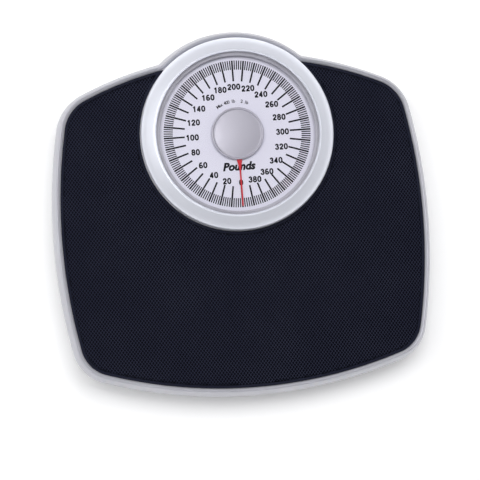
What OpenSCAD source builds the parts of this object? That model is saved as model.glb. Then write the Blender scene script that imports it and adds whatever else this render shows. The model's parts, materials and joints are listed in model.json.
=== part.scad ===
// Mechanical platform scale with a large round dial head.
// Units are millimetres: X to the right, Y toward the dial, Z up from the floor.
// Every module is drawn about the dial's centre, and place() moves it to the footprint's middle.

/* [Platform] */
// Half width of the mat at its widest
mat_half_w = 167.4; // [135:0.1:205]
// From the dial centre to the mat's front edge
mat_front = 233.2; // [190:0.1:285]
// From the dial centre to the widest line
mat_wide_y = 84; // [60:1:110]
// Height of the mat's top face
mat_z = 46; // [42:0.5:56]
// Mat thickness
mat_t = 1.5; // [1:0.1:3]
// Radius of the long side curve
side_r = 510; // [400:5:700]
// Radius of the front curve
front_r = 436; // [350:1:600]
// Radius of the rear curve
rear_r = 330; // [280:1:500]
// Height of the rear curve above the dial centre
rear_y = 70.5; // [60:0.5:80]
// Front corner radius
front_corner_r = 31; // [20:1:45]
// Rear corner radius
rear_corner_r = 36; // [20:1:45]
// Fillet between the rear curve and the collar
collar_fillet = 16; // [13:1:30]
// Platform wall thickness
cover_t = 2; // [1.5:0.1:3]
// Platform skirt depth below the mat
skirt_h = 19.5; // [15:0.5:24]
// Radius of the opening under the dial
deck_hole_r = 78; // [76:0.5:80]

/* [Dial head] */
// Bezel outer radius
bezel_r = 89; // [88:0.1:96]
// Bezel height above the mat
bezel_h = 14.5; // [13:0.5:20]
// Lens radius
lens_r = 77.3; // [76.5:0.1:78]
// Lens thickness
lens_t = 1.4; // [1:0.1:2.4]
// Dial plate radius
plate_r = 73.2; // [60:0.1:73.6]
// Dial plate top above the mat
plate_rise = 4; // [3:0.1:5]
// Hub cap radius
hub_r = 24.1; // [15:0.1:30]
// Pointer length from the shaft
pointer_len = 67; // [50:0.5:68]

/* [Base] */
// Base tray height above its floor
tray_h = 22; // [16:0.5:22]
// Sheet thickness
sheet = 1.2; // [0.8:0.1:2]
// Foot height
foot_h = 8; // [5:0.5:12]
// Foot radius
foot_r = 14; // [8:0.5:18]

/* [Levers] */
// Height of the knife edges
lever_z = 26; // [24:0.5:30]
// Platform travel at the stop
travel = 1.03; // [0.5:0.01:1.4]
// Fulcrum to load point on every lever
load_arm = 20; // [18:0.5:26]
// Lever sheet thickness
lever_t = 2.5; // [1.5:0.1:3.5]
// Knife length
knife_len = 24; // [22:1:30]
// Main lever nose, from the dial centre
nose_y = 31.5; // [28:0.5:36]

/* [Dial works] */
// Gear module
gear_m = 0.5; // [0.42:0.01:0.6]
// Pinion teeth
gear_teeth = 12; // [10:1:14]
// Pinion thickness
gear_w = 4; // [3:0.5:5]
// Pointer turn at the stop, in degrees
pointer_turn = 369; // [180:1:400]
// Shaft radius
shaft_r = 1.5; // [1:0.1:1.8]
// Main spring coil radius
coil_r = 5; // [4:0.1:5.4]
// Main spring wire radius
wire_r = 0.9; // [0.5:0.05:1]
// Zero wheel radius
wheel_r = 18; // [15:0.5:19]
// Zero screw radius
screw_r = 2.5; // [2:0.1:3.5]

/* [Clearances] */
// Radial running fit
fit = 0.05; // [0.02:0.01:0.1]
// Gap of a pin in its fork
fork_gap = 0.35; // [0.3:0.05:0.6]
// Tooth backlash
backlash = 0.1; // [0.05:0.01:0.2]

/* [Hidden] */
$fn = 96;
collar_r = bezel_r + 1;
rim_reach = 8;
front_edge = mat_front + rim_reach;
rear_edge = collar_r + rim_reach;
dial_y = (front_edge - rear_edge) / 2;
deck_z = mat_z - mat_t;
floor_z = foot_h + sheet;
plate_z = mat_z + plate_rise;
skirt_z = mat_z - skirt_h;

front_c = [0, front_r - mat_front];
side_c = [mat_half_w - side_r, -mat_wide_y];
rear_c = [0, rear_y - rear_r];

// Lever layout: the short levers' noses meet the long lever half way.
fulcrum_front = [mat_half_w - 42.4, -(mat_front - 58.2)];
fulcrum_rear = [mat_half_w - 27.4, 5];
load_front_y = fulcrum_front[1] + load_arm;
load_rear_y = fulcrum_rear[1] - load_arm;
lever_len = nose_y - fulcrum_front[1];
aux_len = (fulcrum_rear[1] - fulcrum_front[1]) / 2;
link_y = fulcrum_rear[1] - aux_len;
link_x = fulcrum_front[0] * (nose_y - link_y) / lever_len;
nose_drop = travel * lever_len / load_arm;
lever_top = lever_z + 5;
cheek_x = 8.5;
cheek_t = 2;
nose_knife = 2 * (cheek_x + cheek_t) - 0.4;

// Dial works: crank arms follow from the two travels.
pitch_r = gear_m * gear_teeth / 2;
rack_travel = pitch_r * pointer_turn * PI / 180;
pin_r = 1.2;
pin_z = lever_z - 0.5;
rack_z = plate_z - 6;
rack_t = 3;
crank_z = pin_z - nose_drop / 2;
crank_h = rack_z - crank_z;
crank_half = atan(rack_travel / (2 * crank_h));
crank_a = nose_drop / (2 * tan(crank_half));
crank_y = nose_y + crank_a;
crank_x = 12;
crank_t = 2;
rack_pin_y = crank_y + rack_travel / 2;
rack_back = pitch_r + 5;
frame_z = plate_z - 14;
frame_t = 2;
works_x = 58;
works_front = -30;
works_rear = 56;
spring_x = -18;
anchor_z = plate_z - 6.5;
zero_travel = 0.8;
screw_top = deck_z - cover_t - travel - 0.25;
arm_z = frame_z + frame_t + zero_travel + 0.1;
arm_top = screw_top - zero_travel + 0.1;
zero_x = -10;
zero_y = 78;
wheel_z = floor_z + 4;
wheel_t = 8;

function polar(c, r, a) = [c[0] + r * cos(a), c[1] + r * sin(a)];
function dir(a, b) = atan2(b[1] - a[1], b[0] - a[0]);
function gap_to(a, b) = norm(b - a);

// Centre of the circle that touches two others, on the right of the line a to b.
function touch(a, ra, b, rb) = let (
    d = gap_to(a, b),
    u = (d * d + ra * ra - rb * rb) / (2 * d),
    v = sqrt(ra * ra - u * u),
    t = (b - a) / d
  ) [a[0] + t[0] * u + t[1] * v, a[1] + t[1] * u - t[0] * v];

front_ck = touch(side_c, side_r - front_corner_r, front_c, front_r - front_corner_r);
rear_ck = touch(rear_c, rear_r - rear_corner_r, side_c, side_r - rear_corner_r);
fillet_c = touch(rear_c, rear_r + collar_fillet, [0, 0], collar_r + collar_fillet);

function arc(c, r, a0, a1, n) = [for (i = [0 : n - 1]) polar(c, r, a0 + (a1 - a0) * i / n)];

function half_plain(d) = concat(
  arc(front_c, front_r + d, -90, dir(front_c, front_ck), 9),
  arc(front_ck, front_corner_r + d, dir(front_c, front_ck), dir(side_c, front_ck), 9),
  arc(side_c, side_r + d, dir(side_c, front_ck), dir(side_c, rear_ck), 9),
  arc(rear_ck, rear_corner_r + d, dir(side_c, rear_ck), dir(rear_c, rear_ck), 9));

function half_collar(d) = concat(
  half_plain(d),
  arc(rear_c, rear_r + d, dir(rear_c, rear_ck), dir(rear_c, fillet_c), 6),
  arc(fillet_c, collar_fillet - d, dir(rear_c, fillet_c) + 180, dir([0, 0], fillet_c) + 180, 6),
  arc([0, 0], collar_r + d, dir([0, 0], fillet_c), 90, 15));

function both(h, last) = concat(h, [last], [for (i = [len(h) - 1 : -1 : 1]) [-h[i][0], h[i][1]]]);
function outline(d) = both(half_collar(d), [0, collar_r + d]);
function mat_outline(d) = both(concat(half_plain(d),
  arc(rear_c, rear_r + d, dir(rear_c, rear_ck), 90, 10)), [0, rear_y + d]);
function around(d, r) = [for (p = outline(d)) polar([0, 0], r, atan2(p[1], p[0]))];
function lift(pts, z) = [for (p = pts) [p[0], p[1], z]];

module place() {
  translate([0, dial_y, 0]) children();
}

// Closed tube of rings with equal point counts.
module ring_loft(rings) {
  n = len(rings[0]);
  m = len(rings);
  polyhedron(
    points = [for (r = rings) for (p = r) p],
    faces = [for (j = [0 : m - 1]) for (i = [0 : n - 1]) let (
        a = j * n + i,
        b = j * n + (i + 1) % n,
        c = ((j + 1) % m) * n + (i + 1) % n,
        d = ((j + 1) % m) * n + i
      ) each [[a, c, b], [a, d, c]]],
    convexity = 10);
}

// Rod of round section swept along a path of [point, side vector].
module sweep_rod(path, r, n) {
  m = len(path);
  function tangent(i) = let (
      a = path[max(i - 1, 0)][0],
      b = path[min(i + 1, m - 1)][0]
    ) (b - a) / norm(b - a);
  polyhedron(
    points = [for (i = [0 : m - 1]) let (
        s = path[i][1],
        c = cross(tangent(i), s),
        w = c / norm(c),
        v = cross(w, tangent(i))
      ) for (k = [0 : n - 1]) path[i][0] + r * (cos(360 * k / n) * v + sin(360 * k / n) * w)],
    faces = concat(
      [[for (k = [0 : n - 1]) k]],
      [[for (k = [n - 1 : -1 : 0]) (m - 1) * n + k]],
      [for (i = [0 : m - 2]) for (k = [0 : n - 1]) let (
          a = i * n + k,
          b = i * n + (k + 1) % n,
          c = (i + 1) * n + (k + 1) % n,
          d = (i + 1) * n + k
        ) each [[a, c, b], [a, d, c]]]),
    convexity = 10);
}

// Tension spring along Z with a hook loop at each end, standing in the YZ plane.
module coil(z0, z1, cr, wr, turns) {
  step = 24;
  loop_n = 9;
  count = turns * 360 / step;
  path = concat(
    [for (i = [0 : loop_n]) let (a = -225 + 225 * i / loop_n)
      [[0, cr * cos(a), z0 + cr * sin(a)], [0, cos(a), sin(a)]]],
    [for (i = [1 : count - 1]) let (a = 90 + i * step)
      [[cr * cos(a), cr * sin(a), z0 + (z1 - z0) * i / count], [cos(a), sin(a), 0]]],
    [for (i = [0 : loop_n]) let (a = 225 * i / loop_n, s = sin(90 + turns * 360))
      [[0, s * cr * cos(a), z1 + cr * sin(a)], [0, s * cos(a), sin(a)]]]);
  sweep_rod(path, wr, 8);
}

// Draws a YZ profile as a prism along X.
module along_x(x0, x1) {
  translate([x0, 0, 0]) rotate([90, 0, 90]) linear_extrude(height = x1 - x0) children();
}

module rod_x(x0, x1, y, z, r) {
  translate([x0, y, z]) rotate([0, 90, 0]) cylinder(r = r, h = x1 - x0);
}

module box(x0, x1, y0, y1, z0, z1) {
  translate([x0, y0, z0]) cube([x1 - x0, y1 - y0, z1 - z0]);
}

module both_sides() {
  children();
  mirror([1, 0, 0]) children();
}

// Knife with its edge at the origin, pointing down.
module knife(len = knife_len) {
  along_x(-len / 2, len / 2) polygon([[0, 0], [1.9, 3.6], [-1.9, 3.6]]);
}

module knife_up() {
  mirror([0, 0, 1]) knife();
}

// ---------- base ----------

foot_xy = [[mat_half_w - 47, -(mat_front - 42)], [mat_half_w - 60, 14]];
fulcrums = [fulcrum_front, fulcrum_rear];
works_holes = [[works_x - 5, works_front - 8], [works_x - 5, works_rear + 8]];

module base_tray() {
  color([0.72, 0.73, 0.75]) place() difference() {
    union() {
      difference() {
        translate([0, 0, foot_h]) linear_extrude(height = tray_h) polygon(outline(3.5));
        translate([0, 0, floor_z]) linear_extrude(height = tray_h) polygon(outline(3.5 - sheet));
      }
      for (y = [fulcrum_front[1] + 48, fulcrum_front[1] + 80])
        box(-mat_half_w + 60, mat_half_w - 60, y, y + 7, foot_h + 0.1, floor_z + 1.2);
    }
    box(zero_x - 16, zero_x + 16, collar_r - 7, collar_r + 12, wheel_z - 2, wheel_z + wheel_t + 2);
    for (p = works_holes)
      both_sides() translate([p[0], p[1], 0]) cylinder(r = 1.6, h = floor_z + 1);
    for (p = fulcrums)
      both_sides() for (s = [-1, 1])
        translate([p[0] + s * 12.4, p[1], 0]) cylinder(r = 1.1, h = floor_z + 1);
  }
}

module foot(i, s) {
  color([0.1, 0.1, 0.11]) place() translate([s * foot_xy[i][0], foot_xy[i][1], 0])
    rotate_extrude() polygon([
      [0, 0], [foot_r - 2, 0], [foot_r - 1, 0.6], [foot_r, foot_h - 1.5],
      [foot_r, foot_h], [0, foot_h]]);
}

module foot_front_left() { foot(0, -1); }
module foot_front_right() { foot(0, 1); }
module foot_rear_left() { foot(1, -1); }
module foot_rear_right() { foot(1, 1); }

// Upright cheeks with a notch under a knife edge at the levers' height.
module cheeks(z0, z1, room = 0.05) {
  notch = z1 - lever_z + room;
  for (s = [-1, 1])
    along_x(min(s * cheek_x, s * (cheek_x + cheek_t)), max(s * cheek_x, s * (cheek_x + cheek_t)))
      polygon([[-7, z0], [7, z0], [7, z1], [notch, z1], [0, lever_z - room], [-notch, z1], [-7, z1]]);
}

module fulcrum_bracket(i, s) {
  color([0.62, 0.63, 0.66]) place() translate([s * fulcrums[i][0], fulcrums[i][1], 0]) difference() {
    union() {
      cheeks(floor_z + 0.5, lever_z + 4);
      box(-15.5, 15.5, -7, 7, floor_z, floor_z + 1.5);
    }
    for (k = [-1, 1])
      translate([k * 12.4, 0, 0]) cylinder(r = 1.1, h = floor_z + 3);
  }
}

module fulcrum_bracket_front_left() { fulcrum_bracket(0, -1); }
module fulcrum_bracket_front_right() { fulcrum_bracket(0, 1); }
module fulcrum_bracket_rear_left() { fulcrum_bracket(1, -1); }
module fulcrum_bracket_rear_right() { fulcrum_bracket(1, 1); }

module fulcrum_rivets() {
  color([0.8, 0.8, 0.8]) place() for (p = fulcrums)
    both_sides() for (k = [-1, 1]) translate([p[0] + k * 12.4, p[1], 0]) {
      translate([0, 0, foot_h - 0.5]) cylinder(r = 1.9, h = 0.5);
      translate([0, 0, foot_h - 0.2]) cylinder(r = 1.1, h = sheet + 1.7);
      translate([0, 0, floor_z + 1.5]) cylinder(r1 = 1.9, r2 = 1.2, h = 0.9);
    }
}

// ---------- levers ----------

// Side profile along the lever from its fulcrum, then turned to run from a to b and a little over.
module lever_bar(a, b, drop, over) {
  run = gap_to(a, b);
  translate([a[0], a[1], 0]) rotate([0, 0, dir(a, b)])
    translate([0, lever_t / 2, 0]) rotate([90, 0, 0]) linear_extrude(height = lever_t)
      polygon([[-7, lever_z - 5.5], [run * 0.2, lever_z - 5.5], [run + over, lever_z - drop],
        [run + over, lever_top], [-7, lever_top]]);
}

module at_knife(x, y) {
  translate([x, y, lever_z]) children();
}

module main_arm() {
  load_x = fulcrum_front[0] * (1 - load_arm / lever_len);
  difference() {
    lever_bar(fulcrum_front, [0, nose_y], 2.5, 6);
    box(-40, 40, nose_y - 18, nose_y + 30, 0, 60);
    at_knife(fulcrum_front[0], fulcrum_front[1]) knife();
    at_knife(load_x, load_front_y) knife_up();
  }
}

module main_lever_left() {
  color([0.66, 0.67, 0.7]) place() mirror([1, 0, 0]) main_arm();
}

module main_lever_right() {
  color([0.66, 0.67, 0.7]) place() main_arm();
}

module main_lever_nose() {
  half = fulcrum_front[0] * 18 / lever_len + 4;
  color([0.6, 0.61, 0.64]) place() difference() {
    union() {
      box(-half, half, nose_y - 18, nose_y - 15, lever_z - 2.5, lever_top);
      box(-3, 3, nose_y - 15.5, nose_y + 4, lever_z - 2.5, lever_top);
    }
    at_knife(0, nose_y) knife(nose_knife);
  }
}

module main_lever_knives() {
  load_x = fulcrum_front[0] * (1 - load_arm / lever_len);
  color([0.45, 0.46, 0.5]) place() {
    both_sides() {
      at_knife(fulcrum_front[0], fulcrum_front[1]) knife();
      at_knife(load_x, load_front_y) knife_up();
    }
    at_knife(0, nose_y) knife(nose_knife);
  }
}

aux_end_x = link_x + 6;

module aux_arm() {
  load_x = fulcrum_rear[0] + (aux_end_x - fulcrum_rear[0]) * load_arm / aux_len;
  difference() {
    union() {
      lever_bar(fulcrum_rear, [aux_end_x, link_y], 4, 0);
      box(aux_end_x - 1.2, aux_end_x + 3, link_y - 4, link_y + 4, lever_z, lever_top + 3.6);
    }
    at_knife(fulcrum_rear[0], fulcrum_rear[1]) knife();
    at_knife(load_x, load_rear_y) knife_up();
    rod_x(link_x - 6, aux_end_x + 3.1, link_y, lever_top + 1.8, 1.5);
  }
}

module aux_knives() {
  load_x = fulcrum_rear[0] + (aux_end_x - fulcrum_rear[0]) * load_arm / aux_len;
  at_knife(fulcrum_rear[0], fulcrum_rear[1]) knife();
  at_knife(load_x, load_rear_y) knife_up();
}

module aux_hook() {
  rod_x(link_x - 6, aux_end_x + 3.1, link_y, lever_top + 1.8, 1.5);
}

module short_lever_left() {
  color([0.66, 0.67, 0.7]) place() mirror([1, 0, 0]) aux_arm();
}

module short_lever_right() {
  color([0.66, 0.67, 0.7]) place() aux_arm();
}

module short_lever_knives_left() {
  color([0.45, 0.46, 0.5]) place() mirror([1, 0, 0]) aux_knives();
}

module short_lever_knives_right() {
  color([0.45, 0.46, 0.5]) place() aux_knives();
}

module short_lever_hook_left() {
  color([0.5, 0.5, 0.54]) place() mirror([1, 0, 0]) aux_hook();
}

module short_lever_hook_right() {
  color([0.5, 0.5, 0.54]) place() aux_hook();
}

// ---------- dial works, fixed ----------

module works_frame() {
  color([0.7, 0.7, 0.68]) place() difference() {
    union() {
      box(-works_x, works_x, works_front, works_rear, frame_z, frame_z + frame_t);
      box(zero_x - 10, zero_x + 10, works_rear - 1, zero_y + 8, frame_z, frame_z + frame_t);
      box(crank_x - 6, crank_x + crank_t + 6, works_rear - 1, works_rear + 6, frame_z, frame_z + frame_t);
      both_sides() {
        box(works_x - 10, works_x, works_front, works_front + 2, floor_z, frame_z + 1);
        box(works_x - 10, works_x, works_rear - 2, works_rear, floor_z, frame_z + 1);
        box(works_x - 10, works_x, works_front - 13, works_front + 1, floor_z, floor_z + 2);
        box(works_x - 10, works_x, works_rear - 1, works_rear + 13, floor_z, floor_z + 2);
      }
    }
    for (p = works_holes)
      both_sides() translate([p[0], p[1], 0]) cylinder(r = 1.6, h = floor_z + 5);
    translate([spring_x, nose_y, frame_z - 1]) cylinder(r = coil_r + 3, h = frame_t + 2);
    translate([zero_x, zero_y, frame_z - 1]) cylinder(r = screw_r + fit, h = frame_t + 2);
    translate([0, 0, frame_z - 1]) cylinder(r = shaft_r + 2, h = frame_t + 2);
    box(crank_x - 2, crank_x + crank_t + 2, nose_y - 10, works_rear + 3, frame_z - 1, frame_z + 3);
    box(-46, -30, works_front + 10, nose_y + 6, frame_z - 1, frame_z + 3);
    box(26, 46, works_front + 10, nose_y + 6, frame_z - 1, frame_z + 3);
  }
}

module works_screws() {
  color([0.75, 0.75, 0.78]) place() for (p = works_holes)
    both_sides() translate([p[0], p[1], 0]) {
      translate([0, 0, foot_h - 1.5]) cylinder(r = 1.6, h = sheet + 3.6);
      translate([0, 0, floor_z + 2]) difference() {
        cylinder(r = 3.2, h = 1.8);
        translate([-4, -0.4, 1]) cube([8, 0.8, 2]);
      }
    }
}

module shaft_bush() {
  color([0.8, 0.65, 0.35]) place() translate([0, 0, frame_z]) difference() {
    union() {
      cylinder(r = shaft_r + 2, h = frame_t);
      translate([0, 0, frame_t]) cylinder(r = shaft_r + 3, h = 1);
    }
    translate([0, 0, -1]) cylinder(r = shaft_r + fit, h = 6);
  }
}

module rack_guide() {
  color([0.78, 0.78, 0.74]) place() {
    y0 = -10;
    y1 = 20;
    difference() {
      box(pitch_r + 2.8, rack_back + 3, y0, y1, frame_z + frame_t, rack_z + rack_t / 2 + 0.6);
      box(pitch_r - 1, rack_back + 0.1, y0 - 1, y1 + 1, rack_z - rack_t / 2 - 0.1, rack_z + 9);
    }
  }
}

module crank_bracket() {
  color([0.62, 0.63, 0.66]) place() difference() {
    union() {
      box(crank_x - 5, crank_x + crank_t + 5, crank_y - 6, crank_y + 6, floor_z, floor_z + 1.5);
      for (x = [crank_x - 3, crank_x + crank_t + 1])
        box(x, x + 2, crank_y - 5, crank_y + 5, floor_z + 0.5, crank_z + 4);
    }
    rod_x(crank_x - 6, crank_x + crank_t + 6, crank_y, crank_z, shaft_r);
  }
}

module crank_pin() {
  color([0.75, 0.75, 0.78]) place()
    rod_x(crank_x - 3.6, crank_x + crank_t + 3.6, crank_y, crank_z, shaft_r);
}

dial_posts_xy = [[52, works_front + 6], [52, 42]];

module dial_posts() {
  color([0.8, 0.8, 0.78]) place() for (p = dial_posts_xy)
    both_sides() translate([p[0], p[1], frame_z + frame_t])
      cylinder(r = 3, h = plate_z - 1 - frame_z - frame_t);
}

module dial_plate() {
  color([0.87, 0.87, 0.9]) place() translate([0, 0, plate_z - 1]) difference() {
    cylinder(r = plate_r, h = 1);
    translate([0, 0, -1]) cylinder(r = shaft_r + 1.5, h = 3);
  }
}

module screw_foot() {
  color([0.8, 0.65, 0.35]) place() translate([zero_x, zero_y, floor_z]) difference() {
    cylinder(r = screw_r + 2.5, h = 3);
    translate([0, 0, 0.6]) cylinder(r = screw_r - 0.5 + fit, h = 4);
  }
}

// ---------- dial works, moving ----------

module pinion_gear() {
  pa = 25;
  rb = pitch_r * cos(pa);
  rt = pitch_r + 0.8 * gear_m;
  rr = pitch_r - 1.2 * gear_m;
  half = 90 / gear_teeth - backlash / 2 / pitch_r * 180 / PI;
  function inv(a) = tan(a) * 180 / PI - a;
  function side(r) = half + inv(pa) - inv(acos(min(1, rb / r)));
  steps = [for (i = [0 : 5]) rb + (rt - rb) * i / 5];
  color([0.85, 0.72, 0.4]) place() translate([0, 0, rack_z - gear_w / 2]) difference() {
    linear_extrude(height = gear_w) polygon([for (k = [0 : gear_teeth - 1]) let (c = k * 360 / gear_teeth)
      each concat(
        [polar([0, 0], rr, c - side(rb))],
        [for (r = steps) polar([0, 0], r, c - side(r))],
        [for (i = [5 : -1 : 0]) polar([0, 0], steps[i], c + side(steps[i]))],
        [polar([0, 0], rr, c + side(rb))])]);
    translate([0, 0, -1]) cylinder(r = shaft_r, h = gear_w + 2);
  }
}

module pointer_shaft() {
  color([0.75, 0.75, 0.78]) place() translate([0, 0, frame_z - 3])
    cylinder(r = shaft_r, h = plate_z + 2 - frame_z + 3);
}

module pointer_needle() {
  color([0.8, 0.1, 0.15]) place() translate([0, 0, plate_z + 1.2]) difference() {
    union() {
      linear_extrude(height = 0.8) polygon([
        [-2.8, 0], [-2.5, -hub_r], [-1, -hub_r - 9], [-0.75, -hub_r - 14],
        [-0.65, -pointer_len + 1], [0, -pointer_len], [0.65, -pointer_len + 1],
        [0.75, -hub_r - 14], [1, -hub_r - 9], [2.5, -hub_r], [2.8, 0]]);
      cylinder(r = 9, h = 0.8);
    }
    translate([0, 0, -1]) cylinder(r = shaft_r, h = 4);
  }
}

module hub_cap() {
  color([0.78, 0.78, 0.8]) place() translate([0, 0, plate_z + 2]) rotate_extrude() polygon([
    [0, 0], [hub_r - 0.8, 0], [hub_r, 0.5], [hub_r, 1.5], [hub_r - 0.5, 2.1], [hub_r - 1.3, 2.4],
    [hub_r - 2.1, 2.1], [hub_r - 2.6, 1.5], [hub_r - 3.6, 1.1], [hub_r * 0.7, 1.5],
    [hub_r * 0.5, 1.8], [hub_r * 0.25, 2], [0, 2.1]]);
}

module gear_rack() {
  pitch = PI * gear_m;
  half = pitch / 4 - backlash / 2;
  tip = 0.8 * gear_m;
  root = 1.1 * gear_m;
  lean = tan(25);
  first = -3;
  last = floor((rack_travel + 4) / pitch);
  y0 = first * pitch - 1;
  color([0.85, 0.72, 0.4]) place() difference() {
    translate([0, 0, rack_z - rack_t / 2]) linear_extrude(height = rack_t) polygon(concat(
      [[rack_back, rack_pin_y + 4], [rack_back, y0], [pitch_r + root, y0]],
      [for (k = [first : last]) let (c = (k + 0.5) * pitch) each [
        [pitch_r + root, c - half - root * lean], [pitch_r - tip, c - half + tip * lean],
        [pitch_r - tip, c + half - tip * lean], [pitch_r + root, c + half + root * lean]]],
      [[pitch_r + root, rack_pin_y + 4]]));
    rod_x(pitch_r + 2, rack_back + 1, rack_pin_y, rack_z, pin_r);
  }
}

module rack_pin() {
  color([0.75, 0.75, 0.78]) place()
    rod_x(pitch_r + 2, crank_x + crank_t + 2, rack_pin_y, rack_z, pin_r);
}

module bell_crank() {
  slot = pin_r + fork_gap;
  long = crank_h / cos(crank_half) + 1.6;
  short = crank_a / cos(crank_half) + 1.8;
  color([0.62, 0.63, 0.66]) place() translate([0, crank_y, crank_z]) rotate([-crank_half, 0, 0])
    difference() {
      along_x(crank_x, crank_x + crank_t) difference() {
        union() {
          polygon([[-3.4, 0], [3.4, 0], [3.4, long], [-3.4, long]]);
          polygon([[0, -3.4], [0, 3.4], [-short, 3.4], [-short, -3.4]]);
          circle(r = 5);
        }
        polygon([[-slot, crank_h - 3.4], [slot, crank_h - 3.4], [slot, long + 1], [-slot, long + 1]]);
        polygon([[-crank_a + 2.6, -slot], [-crank_a + 2.6, slot], [-short - 1, slot], [-short - 1, -slot]]);
      }
      rod_x(crank_x - 1, crank_x + crank_t + 1, 0, 0, shaft_r + fit);
    }
}

module draw_bracket() {
  color([0.6, 0.61, 0.64]) place() {
    translate([0, nose_y, 0]) cheeks(lever_z - 4.2, lever_z + 4, 0.4);
    box(-cheek_x - cheek_t, cheek_x + cheek_t, nose_y - 7, nose_y + 7, lever_z - 4.2, lever_z - 2.9);
  }
}

module draw_pins() {
  x = cheek_x + cheek_t;
  color([0.75, 0.75, 0.78]) place() {
    rod_x(-x - 13.5, -x, nose_y, pin_z, pin_r);
    rod_x(x, crank_x + crank_t + 2, nose_y, pin_z, pin_r);
  }
}

module main_spring() {
  reach = coil_r - wire_r - pin_r - 0.15;
  color([0.55, 0.56, 0.6]) place() translate([spring_x, nose_y, 0])
    coil(pin_z + reach, anchor_z - reach, coil_r, wire_r, 6.5);
}

module anchor_arm() {
  color([0.62, 0.63, 0.66]) place() difference() {
    union() {
      box(spring_x - 9, spring_x - 7, nose_y - 4, nose_y + 24, arm_z, anchor_z + 2);
      box(spring_x - 9, zero_x + 7, nose_y + 20, nose_y + 26, arm_z, arm_top);
      box(zero_x - 7, zero_x + 7, nose_y + 24, zero_y + 7, arm_z, arm_top);
      rod_x(spring_x - 7.5, spring_x + 7, nose_y, anchor_z, pin_r);
    }
    translate([zero_x, zero_y, arm_z - 1]) cylinder(r = screw_r + fit, h = 8);
  }
}

module zero_screw() {
  color([0.75, 0.75, 0.78]) place() translate([zero_x, zero_y, 0]) {
    translate([0, 0, floor_z + 0.7]) cylinder(r = screw_r - 0.5, h = 3);
    translate([0, 0, floor_z + 3.2]) cylinder(r = screw_r, h = screw_top - floor_z - 3.2);
  }
}

module zero_wheel() {
  color([0.12, 0.12, 0.13]) place() translate([zero_x, zero_y, wheel_z]) difference() {
    cylinder(r = wheel_r, h = wheel_t);
    for (k = [0 : 35])
      rotate([0, 0, k * 10]) translate([wheel_r + 0.4, 0, -1]) cylinder(r = 1, h = wheel_t + 2, $fn = 24);
    translate([0, 0, -1]) cylinder(r = screw_r, h = wheel_t + 2);
    translate([0, 0, wheel_t - 2]) difference() {
      cylinder(r = wheel_r - 4, h = 3);
      translate([0, 0, -1]) cylinder(r = screw_r + 3, h = 5);
    }
  }
}

// ---------- platform ----------

// Rim section: [reach beyond the mat edge, height above the mat].
rim_out = [[8, -skirt_h], [7.3, -skirt_h * 0.72], [6.4, -skirt_h * 0.45], [5.3, -5.2], [4.9, -4.2],
  [4.4, -1.9], [3.7, -0.2], [2.8, 0.9], [1.9, 1.2], [1, 0.9], [0.4, 0.2], [0.1, -0.6]];
rim_in = [[0.8, -mat_t - cover_t], [2, -5], [2.8, -7], [4, -skirt_h * 0.5],
  [5.2, -skirt_h * 0.75], [6.2, -skirt_h]];

module platform_cover() {
  color([0.8, 0.81, 0.83]) place() ring_loft(concat(
    [for (p = rim_out) lift(outline(p[0]), mat_z + p[1])],
    [lift(outline(0.05), deck_z)],
    [lift(around(0, deck_hole_r), deck_z)],
    [lift(around(0, deck_hole_r), deck_z - cover_t)],
    [for (p = rim_in) lift(outline(p[0]), mat_z + p[1])]));
}

module standing_mat() {
  color([0.12, 0.13, 0.17]) place() translate([0, 0, deck_z]) difference() {
    linear_extrude(height = mat_t) polygon(mat_outline(-0.3));
    translate([0, 0, -1]) cylinder(r = bezel_r + 0.4, h = mat_t + 2);
  }
}

module load_bracket(i, s) {
  x = i == 0 ? fulcrum_front[0] * (1 - load_arm / lever_len)
    : fulcrum_rear[0] + (aux_end_x - fulcrum_rear[0]) * load_arm / aux_len;
  y = i == 0 ? load_front_y : load_rear_y;
  top = deck_z - cover_t;
  low = lever_z - 4;
  notch = 4.05;
  color([0.62, 0.63, 0.66]) place() translate([s * x, y, 0]) {
    box(-14, 14, -7, 7, top - 1.5, top);
    for (k = [-1, 1])
      along_x(min(k * cheek_x, k * (cheek_x + cheek_t)), max(k * cheek_x, k * (cheek_x + cheek_t)))
        polygon([[-7, top - 1], [7, top - 1], [7, low], [notch, low],
          [0, lever_z + 0.05], [-notch, low], [-7, low]]);
  }
}

module load_bracket_front_left() { load_bracket(0, -1); }
module load_bracket_front_right() { load_bracket(0, 1); }
module load_bracket_rear_left() { load_bracket(1, -1); }
module load_bracket_rear_right() { load_bracket(1, 1); }

// Bezel section: outside up over the crown, then back along the inside.
module dial_bezel() {
  h = bezel_h;
  r = bezel_r;
  lip = mat_z + 12.6;
  seat = lens_r;
  color([0.82, 0.83, 0.85]) place() rotate_extrude($fn = 180) polygon([
    [r - 2, deck_z], [r, deck_z], [r, mat_z + 7.2], [r - 0.4, mat_z + 8.4], [r - 1.4, mat_z + 9.5],
    [r - 4.5, mat_z + h - 3.2], [r - 7.5, mat_z + h - 1.6], [r - 10, mat_z + h - 0.5],
    [seat - 0.1, mat_z + h], [seat - 1.3, mat_z + h], [seat - 1.9, mat_z + h - 0.4],
    [seat - 2.1, mat_z + h - 1], [seat - 2.1, lip], [seat, lip], [seat, mat_z + 9.9],
    [seat + 3.2, mat_z + 9.9], [r - 5.4, mat_z + 8.4], [r - 2.8, mat_z + 6.9], [r - 2, mat_z + 5.6]]);
}

module dial_lens() {
  color([0.8, 0.9, 1, 0.3]) place() translate([0, 0, mat_z + 12.6 - lens_t])
    cylinder(r = lens_r - 0.3, h = lens_t, $fn = 180);
}

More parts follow.
